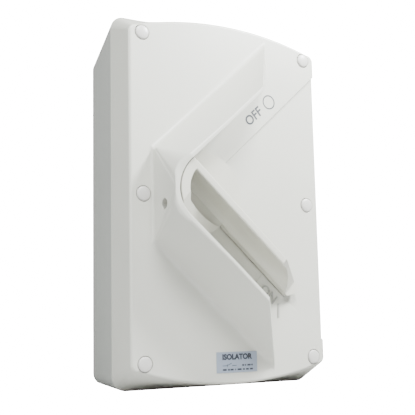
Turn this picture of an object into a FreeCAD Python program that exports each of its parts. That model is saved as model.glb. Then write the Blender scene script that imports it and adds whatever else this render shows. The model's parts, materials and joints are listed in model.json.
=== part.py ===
"""Surface mounted three pole rotary isolator in a moulded weatherproof case.

Frame: X to the right, Z up, Y into the wall. The back of the case lies on Y = 0 and the
front faces -Y. The origin is the middle of the wall face, on the level of the handle axis.
"""
import FreeCAD, Part
import Sketcher
import math
import os
import re

V = FreeCAD.Vector
doc = FreeCAD.newDocument("RotaryIsolator")

# ---------------------------------------------------------------- driving dimensions, in mm
DIMENSIONS = {
    "case_half_width": 79.5,      # at the joint between base and cover
    "case_half_height": 128.0,
    "case_corner": 10.0,
    "back_half_width": 68.5,      # the base narrows towards the wall
    "back_top": 114.0,
    "back_bottom": 126.5,
    "back_corner": 8.0,
    "base_depth": 57.5,
    "face_depth": 82.0,           # wall to front face
    "face_half_width": 77.0,
    "face_corner_height": 114.5,
    "face_crown_height": 125.5,
    "face_corner": 5.0,
    "wall": 3.5,
    "screw_half_x": 67.25,
    "screw_half_z": 110.0,
    "pillar_radius": 5.2,
    "pillar_length": 30.0,
    "pilot_floor": 4.0,
    "screw_radius": 2.0,
    "screw_head_radius": 3.8,
    "cap_radius": 5.1,
    "cap_well_radius": 5.3,
    "cap_well_depth": 9.0,
    "cap_skirt": 4.0,
    "gasket_width": 1.6,
    "gasket_height": 1.7,
    "gasket_inset": 1.0,
    "gasket_slack": 0.1,
    "hub_x": -30.0,               # handle axis
    "arm_angle": 42.3,            # guard arms and both handle positions, from the X axis
    "guard_height": 36.0,
    "guard_base_radius": 43.3,
    "guard_top_radius": 29.6,
    "guard_inner_radius": 27.0,
    "guard_base_end": 33.0,
    "guard_top_end": 5.2,
    "guard_flat_x": 60.4,         # flat on the guard's point, left of the axis
    "guard_dip_start": -45.0,     # the ridge slopes down from here to the point
    "guard_dip_end": -57.0,
    "guard_dip_height": 31.3,     # ridge height on the point
    "lock_hole_radius": 3.6,
    "lock_hole_height": 15.8,     # in front of the face
    "lock_hole_drop": 8.5,        # below the handle axis
    "sector_offset": 1.0,
    "sector_depth": 1.9,
    "drum_radius": 26.2,
    "drum_height": 31.6,
    "drum_clearance": 0.8,
    "drum_skirt": 2.2,
    "drum_ring_width": 6.6,
    "drum_shoulder": 12.9,
    "scoop_floor": 6.0,
    "fin_low": -0.8,              # sides of the fin, across the handle
    "fin_high": 3.9,
    "scoop_turn": -8.5,           # along the handle: the scoop leaves the ring here
    "scoop_belly_u": 12.0,        # a point on the scoop's lower edge, along and across
    "scoop_belly_v": -11.8,
    "scoop_tip": 30.0,            # the scoop's lower edge meets the fin here
    "arm_start": -23.5,           # the fin's flared side starts near the drum's rim
    "groove_start": -17.0,        # the finger groove runs from here to the nose
    "spigot_radius": 14.0,
    "spigot_clearance": 0.05,
    "spigot_length": 13.0,
    "collar_wall": 5.0,
    "collar_length": 5.0,
    "seal_drop": 3.0,
    "seal_groove_width": 2.0,
    "seal_groove_depth": 1.8,
    "clip_drop": 5.1,             # behind the cover skin
    "clip_groove_width": 1.3,
    "clip_groove_depth": 1.2,
    "handle_reach": 103.0,
    "ramp_start": -13.0,          # along the handle: the fin's back slopes down to the foot
    "ramp_end": 31.0,
    "nose_start": 68.5,
    "nose_end": 96.0,
    "blade_width": 11.0,
    "blade_thickness": 4.0,
    "shaft_size": 8.0,
    "stage_size": 60.0,
    "stage_thickness": 13.0,
    "stack_start": 15.0,          # wall to the back of the rearmost pole
    "index_thickness": 13.0,
    "stage_floor": 2.0,
    "tie_half_pitch": 25.5,
    "tie_radius": 1.7,
    "pivot_radius": 6.5,
    "cavity_radius": 24.5,
    "contact_radius": 23.3,
    "blade_reach": 22.9,
    "rotor_radius": 16.0,
    "rotor_gap": 0.3,
    "terminal_pitch": 19.0,
    "terminal_size": 12.0,
    "terminal_height": 39.5,
    "contact_width": 9.0,
    "tongue_width": 6.6,
    "blade_level": 5.05,          # back of a stage to the back of its moving contact
    "blade_gauge": 3.0,
    "bar_level": 4.5,
    "bar_gauge": 2.0,
    "cam_radius": 15.0,
    "leaf_offset": 16.2,
    "leaf_length": 27.0,
    "plate_thickness": 2.0,
    "plate_back": 10.0,
    "plate_width": 124.0,
    "plate_height": 166.0,
    "plate_screw_half_x": 46.0,
    "plate_screw_half_z": 70.0,
    "bar_block_x": 40.0,
    "bar_block_z": 50.0,
    "wall_hole_half_x": 50.0,
    "wall_hole_half_z": 90.0,
    "wall_hole_radius": 2.75,
    "entry_radius": 16.25,
    "entry_half_pitch": 32.0,
    "entry_depth": 28.0,
    "label_left": -14.5,
    "label_right": 18.0,
    "label_bottom": -118.0,
    "label_top": -104.2,
    "label_gauge": 0.3,
}

sheet = doc.addObject("Spreadsheet::Sheet", "Dims")
for row, (alias, value) in enumerate(DIMENSIONS.items(), start=1):
    sheet.set("A%d" % row, alias)
    sheet.set("B%d" % row, str(value))
    sheet.setAlias("B%d" % row, alias)
doc.recompute()

NAMES = re.compile(r"\b(" + "|".join(sorted(DIMENSIONS, key=len, reverse=True)) + r")\b")
SUBPARTS = []


def cell(text):
    """Expression text with every dimension name pointing at its sheet cell."""
    return NAMES.sub(r"Dims.\1", str(text))


def dim(alias):
    return float(sheet.get(alias))


def bind(item, **settings):
    for key, text in settings.items():
        item.setExpression(key.replace("__", "."), cell(text))
    return item


def subpart(item, label):
    """Names a finished piece and puts it on the list that is written out."""
    item.Label = label
    SUBPARTS.append(item)
    return item


# ---------------------------------------------------------------- Part workbench helpers
def place(item, x, y, z):
    item.setExpression("Placement.Base.x", cell(x))
    item.setExpression("Placement.Base.y", cell(y))
    item.setExpression("Placement.Base.z", cell(z))
    return item


def box(name, size, centre_x, back, centre_z):
    """Block of size (x, y, z) whose rear face is at depth `back`; it grows towards the front."""
    item = doc.addObject("Part::Box", name)
    bind(item, Length=size[0], Width=size[1], Height=size[2])
    place(item, "(%s) - (%s) / 2" % (centre_x, size[0]), "-(%s) - (%s)" % (back, size[1]),
          "(%s) - (%s) / 2" % (centre_z, size[2]))
    return item


def rod(name, radius, length, x, back, z):
    """Round bar along Y from depth `back` towards the front."""
    item = doc.addObject("Part::Cylinder", name)
    bind(item, Radius=radius, Height=length)
    item.Placement = FreeCAD.Placement(V(), FreeCAD.Rotation(V(1, 0, 0), 90))
    return place(item, x, "-(%s)" % back, z)


def upright(name, radius, length, x, depth, z):
    """Round bar along Z from height z."""
    item = doc.addObject("Part::Cylinder", name)
    bind(item, Radius=radius, Height=length)
    return place(item, x, "-(%s)" % depth, z)


def cut(name, base, tool):
    item = doc.addObject("Part::Cut", name)
    item.Base = base
    item.Tool = tool
    return item


def fuse(name, pieces):
    item = doc.addObject("Part::MultiFuse", name)
    item.Shapes = pieces
    return item


def group(name, pieces):
    item = doc.addObject("Part::Compound", name)
    item.Links = pieces
    return item


# ---------------------------------------------------------------- PartDesign helpers
def new_body(name):
    return doc.addObject("PartDesign::Body", name)


def new_sketch(body, name, depth="0", role="XZ_Plane"):
    """Sketch on one of the body's planes. On XZ its x is X, its y is Z and its normal is -Y."""
    sketch = body.newObject("Sketcher::SketchObject", name)
    plane = [item for item in body.Origin.OriginFeatures if item.Role == role][0]
    sketch.AttachmentSupport = [(plane, "")]
    sketch.MapMode = "FlatFace"
    sketch.setExpression("AttachmentOffset.Base.z", cell(depth))
    return sketch


def feature(body, kind, name, sketch, **settings):
    item = body.newObject("PartDesign::" + kind, name)
    item.Profile = sketch
    bind(item, **settings)
    return item


def circle(sketch, radius, x=0.0, y=0.0):
    """Circle whose radius is bound to the sheet."""
    index = sketch.addGeometry(Part.Circle(V(x, y, 0), V(0, 0, 1), 1.0))
    number = sketch.addConstraint(Sketcher.Constraint("Radius", index, 1.0))
    sketch.setExpression("Constraints[%d]" % number, cell(radius))
    return index


def outline(sketch, points):
    """Closed outline of straight runs."""
    for start, end in zip(points, points[1:] + points[:1]):
        sketch.addGeometry(Part.LineSegment(V(start[0], start[1], 0), V(end[0], end[1], 0)))


def rounded_outline(sketch, half_width, top, bottom, corner, crown_top=0.0, crown_bottom=0.0):
    """Upright panel with round corners and, where asked, a top and bottom that bow outwards."""
    x, r = half_width, corner
    quarter = math.pi / 2

    def corner_arc(cx, cy, start):
        ring = Part.Circle(V(cx, cy, 0), V(0, 0, 1), r)
        sketch.addGeometry(Part.ArcOfCircle(ring, start, start + quarter))

    def side(x1, y1, x2, y2, crown):
        if crown == 0.0:
            sketch.addGeometry(Part.LineSegment(V(x1, y1, 0), V(x2, y2, 0)))
        else:
            middle = V((x1 + x2) / 2, (y1 + y2) / 2 + crown, 0)
            sketch.addGeometry(Part.Arc(V(x1, y1, 0), middle, V(x2, y2, 0)))

    side(x, -bottom + r, x, top - r, 0.0)
    corner_arc(x - r, top - r, 0.0)
    side(x - r, top, -x + r, top, crown_top)
    corner_arc(-x + r, top - r, quarter)
    side(-x, top - r, -x, -bottom + r, 0.0)
    corner_arc(-x + r, -bottom + r, 2 * quarter)
    side(-x + r, -bottom, x - r, -bottom, -crown_bottom)
    corner_arc(x - r, -bottom + r, 3 * quarter)


CORNERS = [(sx, sz) for sx in (-1, 1) for sz in (-1, 1)]
SCREW_SPOTS = [(sx, sz) for sx in (-1, 1) for sz in (-1, 0, 1)]


def spots(sketch, radius, places, half_x, half_z):
    """One circle at each of the places, counted in half pitches from the origin."""
    for sx, sz in places:
        circle(sketch, radius, sx * dim(half_x), sz * dim(half_z))


def guard_outline(sketch, radius, end_x):
    """Arrow shape round the handle axis: an arc on the left and two arms running to end_x."""
    angle = math.radians(dim("arm_angle"))
    hub = dim("hub_x")
    touch = V(hub - radius * math.sin(angle), radius * math.cos(angle), 0)
    run = (end_x - touch.x) / math.cos(angle)
    tip = V(end_x, touch.y + run * math.sin(angle), 0)
    left = V(hub - radius, 0, 0)
    low_touch = V(touch.x, -touch.y, 0)
    low_tip = V(tip.x, -tip.y, 0)
    sketch.addGeometry(Part.LineSegment(low_tip, tip))
    sketch.addGeometry(Part.LineSegment(tip, touch))
    sketch.addGeometry(Part.Arc(touch, left, low_touch))
    sketch.addGeometry(Part.LineSegment(low_touch, low_tip))


# ---------------------------------------------------------------- case
def joint_ring(sketch, slack):
    """Ring that follows the joint between base and cover; the gasket lies on it."""
    for inset in (dim("gasket_inset") - slack, dim("gasket_inset") + dim("gasket_width") + slack):
        rounded_outline(sketch, dim("case_half_width") - inset, dim("case_half_height") - inset,
                        dim("case_half_height") - inset, dim("case_corner") - inset)


def end_wall(back_height, tilt_sign):
    """Middle of the cable entries on an end wall of the base, with Z pointing out of the wall."""
    rise = dim("case_half_height") - back_height
    level = back_height + rise * dim("entry_depth") / dim("base_depth")
    slope = math.degrees(math.atan2(rise, dim("base_depth")))
    turn = FreeCAD.Rotation(V(1, 0, 0), -slope * tilt_sign)
    return FreeCAD.Placement(V(0, -dim("entry_depth"), level * tilt_sign), turn)


def top_entry():
    return end_wall(dim("back_top"), 1)


def bottom_entry():
    """The bottom wall is nearly square to the back, so its entries are drilled straight along Z."""
    entry = end_wall(dim("back_bottom"), -1)
    entry.Rotation = FreeCAD.Rotation()
    return entry


def make_rear_base():
    body = new_body("RearBase")
    joint = new_sketch(body, "BaseJoint", "base_depth")
    rounded_outline(joint, dim("case_half_width"), dim("case_half_height"), dim("case_half_height"),
                    dim("case_corner"))
    back = new_sketch(body, "BaseBack")
    rounded_outline(back, dim("back_half_width"), dim("back_top"), dim("back_bottom"), dim("back_corner"))
    shell = feature(body, "AdditiveLoft", "BaseBlock", back)
    shell.Sections = [joint]
    shell.Ruled = True

    wall = dim("wall")
    inner_joint = new_sketch(body, "BaseMouth", "base_depth")
    rounded_outline(inner_joint, dim("case_half_width") - wall, dim("case_half_height") - wall,
                    dim("case_half_height") - wall, dim("case_corner") - wall)
    inner_back = new_sketch(body, "BaseFloor", "wall")
    rounded_outline(inner_back, dim("back_half_width") - wall, dim("back_top") - wall,
                    dim("back_bottom") - wall, dim("back_corner") - wall)
    hollow = feature(body, "SubtractiveLoft", "BaseHollow", inner_back)
    hollow.Sections = [inner_joint]
    hollow.Ruled = True

    groove = new_sketch(body, "GasketGroove", "base_depth")
    joint_ring(groove, dim("gasket_slack"))
    feature(body, "Pocket", "GasketChannel", groove, Length="gasket_height + gasket_slack")

    posts = new_sketch(body, "PillarSpots", "base_depth")
    spots(posts, "pillar_radius", SCREW_SPOTS, "screw_half_x", "screw_half_z")
    pillars = feature(body, "Pad", "Pillars", posts, Length="pillar_length")
    pillars.Reversed = True

    pilots = new_sketch(body, "PilotSpots", "base_depth")
    spots(pilots, "screw_radius", SCREW_SPOTS, "screw_half_x", "screw_half_z")
    feature(body, "Pocket", "PilotHoles", pilots, Length="pillar_length - pilot_floor")

    seats = new_sketch(body, "PlateSeats", "wall")
    spots(seats, "6", CORNERS, "plate_screw_half_x", "plate_screw_half_z")
    feature(body, "Pad", "PlateBosses", seats, Length="plate_back - wall")
    seat_holes = new_sketch(body, "PlateScrewSpots", "plate_back")
    spots(seat_holes, "screw_radius", CORNERS, "plate_screw_half_x", "plate_screw_half_z")
    feature(body, "Pocket", "PlateScrewHoles", seat_holes, Length="plate_back - 2")

    fixing = new_sketch(body, "WallHoleSpots", "wall")
    spots(fixing, "wall_hole_radius", CORNERS, "wall_hole_half_x", "wall_hole_half_z")
    holes = feature(body, "Pocket", "WallHoles", fixing)
    holes.Type = "ThroughAll"

    for name, end in (("Top", top_entry()), ("Bottom", bottom_entry())):
        entry = body.newObject("Sketcher::SketchObject", name + "EntrySpots")
        plane = [item for item in body.Origin.OriginFeatures if item.Role == "XY_Plane"][0]
        entry.AttachmentSupport = [(plane, "")]
        entry.MapMode = "FlatFace"
        entry.AttachmentOffset = end
        for sx in (-1, 1):
            circle(entry, "entry_radius", sx * dim("entry_half_pitch"))
        drilled = feature(body, "Pocket", name + "Entries", entry)
        drilled.Midplane = True
        drilled.Length = 4 * wall
    return subpart(body, "rear_base")


def make_front_cover():
    body = new_body("FrontCover")
    wall = dim("wall")
    rim = new_sketch(body, "CoverRim", "base_depth")
    rounded_outline(rim, dim("case_half_width"), dim("case_half_height"), dim("case_half_height"),
                    dim("case_corner"))
    face = new_sketch(body, "CoverFace", "face_depth")
    crown = dim("face_crown_height") - dim("face_corner_height")
    rounded_outline(face, dim("face_half_width"), dim("face_corner_height"), dim("face_corner_height"),
                    dim("face_corner"), crown, crown)
    block = feature(body, "AdditiveLoft", "CoverBlock", rim)
    block.Sections = [face]
    block.Ruled = True

    guard_foot = new_sketch(body, "GuardFoot", "face_depth")
    guard_outline(guard_foot, dim("guard_base_radius"), dim("guard_base_end"))
    guard_ridge = new_sketch(body, "GuardRidge", "face_depth + guard_height")
    guard_outline(guard_ridge, dim("guard_top_radius"), dim("guard_top_end"))
    guard = feature(body, "AdditiveLoft", "Guard", guard_foot)
    guard.Sections = [guard_ridge]
    guard.Ruled = True

    beyond = 1.5 * dim("case_half_width")
    well = new_sketch(body, "GuardWellOutline", "face_depth")
    guard_outline(well, dim("guard_inner_radius"), beyond)
    scooped = feature(body, "Pocket", "GuardWell", well, Length="guard_height + 1")
    scooped.Reversed = True

    sector = new_sketch(body, "SectorOutline", "face_depth")
    guard_outline(sector, dim("sector_offset"), beyond)
    feature(body, "Pocket", "Sector", sector, Length="sector_depth")
    seat = new_sketch(body, "DrumSeatOutline", "face_depth")
    circle(seat, "guard_inner_radius", dim("hub_x"))
    feature(body, "Pocket", "DrumSeat", seat, Length="sector_depth")

    inner_rim = new_sketch(body, "CoverMouth", "base_depth")
    rounded_outline(inner_rim, dim("case_half_width") - wall, dim("case_half_height") - wall,
                    dim("case_half_height") - wall, dim("case_corner") - wall)
    ceiling = new_sketch(body, "CoverCeiling", "face_depth - sector_depth - wall")
    rounded_outline(ceiling, dim("face_half_width") - wall, dim("face_corner_height") - wall,
                    dim("face_corner_height") - wall, dim("face_corner"), crown, crown)
    hollow = feature(body, "SubtractiveLoft", "CoverHollow", inner_rim)
    hollow.Sections = [ceiling]
    hollow.Ruled = True

    tubes = new_sketch(body, "ScrewTubeSpots", "base_depth")
    spots(tubes, "cap_well_radius + 1.6", SCREW_SPOTS, "screw_half_x", "screw_half_z")
    feature(body, "Pad", "ScrewTubes", tubes, Length="face_depth - base_depth - wall")

    clearance = new_sketch(body, "ScrewHoleSpots", "base_depth")
    wells = new_sketch(body, "CapWellSpots", "face_depth")
    spots(clearance, "screw_radius + 0.4", SCREW_SPOTS, "screw_half_x", "screw_half_z")
    spots(wells, "cap_well_radius", SCREW_SPOTS, "screw_half_x", "screw_half_z")
    bored = feature(body, "Pocket", "ScrewHoles", clearance)
    bored.Type = "ThroughAll"
    bored.Reversed = True
    feature(body, "Pocket", "CapWells", wells, Length="cap_well_depth")

    collar = new_sketch(body, "CollarOutline", "face_depth - sector_depth - wall")
    circle(collar, "spigot_radius + collar_wall", dim("hub_x"))
    sleeve = feature(body, "Pad", "Collar", collar, Length="collar_length")
    sleeve.Reversed = True
    bore = new_sketch(body, "SpigotBoreOutline", "face_depth")
    circle(bore, "spigot_radius + spigot_clearance", dim("hub_x"))
    feature(body, "Pocket", "SpigotBore", bore, Length="sector_depth + wall + collar_length + 1")

    dip = new_sketch(body, "GuardDipOutline", role="XY_Plane")
    left, clear = -dim("case_half_width") - 5, -dim("face_depth") - dim("guard_height") - 5
    low = -dim("face_depth") - dim("guard_dip_height")
    slope = (dim("face_depth") + dim("guard_height") + low) / (dim("guard_dip_start") - dim("guard_dip_end"))
    outline(dip, [(dim("guard_dip_start") + 5 / slope, clear), (dim("guard_dip_end"), low), (left, low),
                  (left, clear)])
    dipped = feature(body, "Pocket", "GuardDip", dip, Length="2 * case_half_height")
    dipped.Midplane = True

    lock = new_sketch(body, "LockHoleSpot", "guard_flat_x + 10", "YZ_Plane")
    lock.setExpression("AttachmentOffset.Base.z", cell("-guard_flat_x - 10"))
    circle(lock, "lock_hole_radius", -dim("face_depth") - dim("lock_hole_height"), -dim("lock_hole_drop"))
    lock_hole = feature(body, "Pocket", "LockHole", lock, Length=24)
    lock_hole.Reversed = True
    flat = new_sketch(body, "GuardFlatOutline", "face_depth")
    edge = -dim("guard_flat_x")
    outside = edge - dim("guard_base_radius")
    reach = dim("case_half_width")
    outline(flat, [(outside, -reach), (edge, -reach), (edge, reach), (outside, reach)])
    trimmed = feature(body, "Pocket", "GuardFlat", flat, Length="guard_height + 1")
    trimmed.Reversed = True
    return subpart(body, "front_cover")


def make_gasket():
    body = new_body("CoverGasket")
    ring = new_sketch(body, "GasketOutline", "base_depth")
    joint_ring(ring, 0.0)
    pad = feature(body, "Pad", "GasketStrip", ring, Length="gasket_height")
    pad.Reversed = True
    return subpart(body, "cover_gasket")


def make_cover_screws_and_caps():
    screws = []
    caps = []
    for number, (sx, sz) in enumerate(SCREW_SPOTS):
        x = "%d * screw_half_x" % sx
        z = "%d * screw_half_z" % sz
        # the right hand middle screw stands in the recessed sector
        drop = "sector_depth" if (sx, sz) == (1, 0) else "0"
        seat = "face_depth - cap_well_depth"
        head = rod("ScrewHead%d" % number, "screw_head_radius", 3, x, seat, z)
        tip = "base_depth - pillar_length + 2 * pilot_floor"
        shank = rod("ScrewShank%d" % number, "screw_radius - 0.05", "%s - (%s)" % (seat, tip), x, tip, z)
        slot = box("ScrewSlot%d" % number, ("6", "1.5", "1"), x, seat + " + 1.5", z)
        screws.append(cut("Screw%d" % number, fuse("ScrewSolid%d" % number, [head, shank]), slot))
        skirt = rod("CapSkirt%d" % number, "cap_radius", "cap_skirt - %s" % drop, x,
                    "face_depth - cap_skirt", z)
        dome = doc.addObject("Part::Sphere", "CapDome%d" % number)
        bind(dome, Radius="cap_radius * 2")
        place(dome, x, "-(face_depth - %s) + cap_radius * 1.732" % drop, z)
        trim = rod("CapTrim%d" % number, "cap_radius", "5", x, "face_depth - %s" % drop, z)
        lens = doc.addObject("Part::MultiCommon", "CapCrown%d" % number)
        lens.Shapes = [dome, trim]
        caps.append(fuse("Cap%d" % number, [skirt, lens]))
    subpart(group("CoverScrews", screws), "cover_screws")
    subpart(group("ScrewCaps", caps), "screw_caps")


# ---------------------------------------------------------------- handle
def make_handle():
    """Drum, fin and foot in one moulding, drawn with the fin along +X and turned to ON."""
    body = new_body("Handle")
    top = dim("drum_height")
    low = dim("drum_clearance")
    fin_low = dim("fin_low")
    fin_high = dim("fin_high")
    foot = dim("blade_width")
    sill = low + dim("blade_thickness")
    reach = dim("handle_reach")
    outside = 2 * dim("drum_radius")

    drum = new_sketch(body, "DrumOutline", "drum_clearance - drum_skirt")
    circle(drum, "drum_radius")
    feature(body, "Pad", "Drum", drum, Length="drum_height - drum_clearance + drum_skirt")

    shoulder = new_sketch(body, "ShoulderOutline", "drum_height")
    outline(shoulder, [(-outside, fin_high), (outside, fin_high), (outside, outside), (-outside, outside)])
    feature(body, "Pocket", "Shoulder", shoulder, Length="drum_shoulder")

    scoop = new_sketch(body, "ScoopOutline", "drum_height")
    scoop_radius = dim("drum_radius") - dim("drum_ring_width")
    turn = V(dim("scoop_turn"), -math.sqrt(scoop_radius ** 2 - dim("scoop_turn") ** 2), 0)
    far_left = V(-math.sqrt(scoop_radius ** 2 - fin_low ** 2), fin_low, 0)
    round_left = V(scoop_radius * math.cos(math.radians(215)), scoop_radius * math.sin(math.radians(215)), 0)
    tip_point = V(dim("scoop_tip"), fin_low, 0)
    belly = V(dim("scoop_belly_u"), dim("scoop_belly_v"), 0)
    scoop.addGeometry(Part.Arc(far_left, round_left, turn))
    scoop.addGeometry(Part.Arc(turn, belly, tip_point))
    scoop.addGeometry(Part.LineSegment(tip_point, far_left))
    feature(body, "Pocket", "Scoop", scoop, Length="drum_height - scoop_floor")

    # on the low side of the fin the ring falls away towards the foot
    ramp = new_sketch(body, "RampOutline", "fin_low", "XY_Plane")
    ramp_start = dim("ramp_start")
    run_off = 1.3 * dim("ramp_end")
    outline(ramp, [(ramp_start, -top - 1), (ramp_start, -top), (dim("ramp_end"), -low - 2),
                   (run_off, -low - 2), (run_off, -top - 1)])
    feature(body, "Pocket", "Ramp", ramp, Length="2 * drum_radius")

    # arm section, forward of the face by -x: a finger groove on the low side and a flared high side
    arm = new_sketch(body, "ArmSection", "arm_start", "YZ_Plane")
    groove_crease = V(-sill - 3.7, fin_low + 2.8, 0)
    groove_deepest = V(-0.6 * top, fin_high - 0.3, 0)
    section = [V(-top + 1.2, fin_low, 0), V(-top, fin_low + 0.6, 0), V(-top, fin_high, 0),
               V(-sill, foot, 0), V(-low, foot, 0), V(-low, fin_low, 0), V(-sill - 1, fin_low, 0),
               groove_crease]
    for start_point, end_point in zip(section, section[1:]):
        arm.addGeometry(Part.LineSegment(start_point, end_point))
    arm.addGeometry(Part.Arc(groove_crease, groove_deepest, section[0]))
    feature(body, "Pad", "Arm", arm, Length="handle_reach - arm_start")

    # the same groove carries on into the drum, along the fin
    channel = new_sketch(body, "ChannelSection", "groove_start", "YZ_Plane")
    channel.addGeometry(Part.Arc(groove_crease, groove_deepest, section[0]))
    channel.addGeometry(Part.LineSegment(section[0], section[6]))
    channel.addGeometry(Part.LineSegment(section[6], groove_crease))
    grooved = feature(body, "Pocket", "Channel", channel, Length="drum_radius - groove_start + 1")
    grooved.Reversed = True

    beyond = reach + foot
    nose = new_sketch(body, "NoseOutline", "-3 * blade_width", "XY_Plane")
    outline(nose, [(dim("nose_start"), -top - 1), (dim("nose_start"), -top), (dim("nose_end"), -sill),
                   (beyond, -sill), (beyond, -top - 1)])
    nosed = feature(body, "Pocket", "Nose", nose, Length="6 * blade_width")
    nosed.Reversed = True

    tip = new_sketch(body, "TipOutline", "drum_height")
    tip_start = V(reach - 6.0, fin_low - 1, 0)
    tip_end = V(reach - 3.0, foot + 1, 0)
    tip_front = V(reach, foot * 0.8, 0)
    tip.addGeometry(Part.Arc(tip_start, V(reach - 1.4, foot * 0.42, 0), tip_front))
    tip.addGeometry(Part.Arc(tip_front, V(reach - 0.8, foot - 0.1, 0), tip_end))
    tip.addGeometry(Part.LineSegment(tip_end, V(beyond, foot + 1, 0)))
    tip.addGeometry(Part.LineSegment(V(beyond, foot + 1, 0), V(beyond, fin_low - 1, 0)))
    tip.addGeometry(Part.LineSegment(V(beyond, fin_low - 1, 0), tip_start))
    tipped = feature(body, "Pocket", "Tip", tip)
    tipped.Type = "ThroughAll"

    spigot = new_sketch(body, "SpigotOutline", "drum_clearance - drum_skirt")
    circle(spigot, "spigot_radius")
    stem = feature(body, "Pad", "Spigot", spigot, Length="spigot_length - drum_skirt")
    stem.Reversed = True

    seal_groove = new_sketch(body, "SealGrooveOutline", "-sector_depth - seal_drop")
    circle(seal_groove, "spigot_radius + 1")
    circle(seal_groove, "spigot_radius - seal_groove_depth")
    feature(body, "Pocket", "SealGroove", seal_groove, Length="seal_groove_width")
    clip_groove = new_sketch(body, "ClipGrooveOutline", "-sector_depth - wall - clip_drop")
    circle(clip_groove, "spigot_radius + 1")
    circle(clip_groove, "spigot_radius - clip_groove_depth")
    feature(body, "Pocket", "ClipGroove", clip_groove, Length="clip_groove_width")

    # the square socket stays upright while the handle points along the ON direction
    socket = new_sketch(body, "SocketOutline", "drum_clearance - spigot_length")
    corner_reach = (dim("shaft_size") / 2 + 0.1) * math.sqrt(2)
    corners = []
    for quarter in range(4):
        angle = math.radians(dim("arm_angle") + 45 + 90 * quarter)
        corners.append((corner_reach * math.cos(angle), corner_reach * math.sin(angle)))
    outline(socket, corners)
    hollow = feature(body, "Pocket", "Socket", socket, Length="spigot_length - 1")
    hollow.Reversed = True

    body.Placement = FreeCAD.Placement(V(), FreeCAD.Rotation(V(0, 1, 0), dim("arm_angle")))
    place(body, "hub_x", "-face_depth", "0")
    return subpart(body, "handle")


def make_handle_seal_and_clip():
    ring = doc.addObject("Part::Torus", "HandleSeal")
    bind(ring, Radius1="spigot_radius - seal_groove_depth / 2", Radius2="seal_groove_depth / 2 - 0.05")
    ring.Placement = FreeCAD.Placement(V(), FreeCAD.Rotation(V(1, 0, 0), 90))
    place(ring, "hub_x", "-(face_depth - sector_depth - seal_drop - seal_groove_width / 2)", "0")
    subpart(ring, "handle_seal")

    skin_back = "face_depth - sector_depth - wall"
    clip_back = skin_back + " - clip_drop - clip_groove_width + 0.1"
    plate = rod("ClipPlate", "spigot_radius + 3", "clip_groove_width - 0.2", "hub_x", clip_back, "0")
    hole = rod("ClipHole", "spigot_radius - clip_groove_depth + 0.1", "3", "hub_x", clip_back + " - 1", "0")
    gap = box("ClipGap", ("12", "3", "20"), "hub_x", clip_back + " - 1", "-spigot_radius - 2")
    subpart(cut("ClipOpen", cut("ClipRing", plate, hole), gap), "handle_retaining_clip")


# ---------------------------------------------------------------- switch
POLES = ["rear", "middle", "front"]


def stage_back(number):
    return "stack_start + %d * stage_thickness" % number


def tie_rods(tag, radius, length, back):
    """One round bar at each corner of the switch stack."""
    return [rod("%s%d%d" % (tag, sx + 1, sz + 1), radius, length, "hub_x + %d * tie_half_pitch" % sx, back,
                "%d * tie_half_pitch" % sz) for sx, sz in CORNERS]


def shaft_hole(name, back):
    """Square hole that slides over the drive shaft."""
    return box(name, ("shaft_size + 0.1", "2 * stage_thickness", "shaft_size + 0.1"), "hub_x", back, "0")


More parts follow.
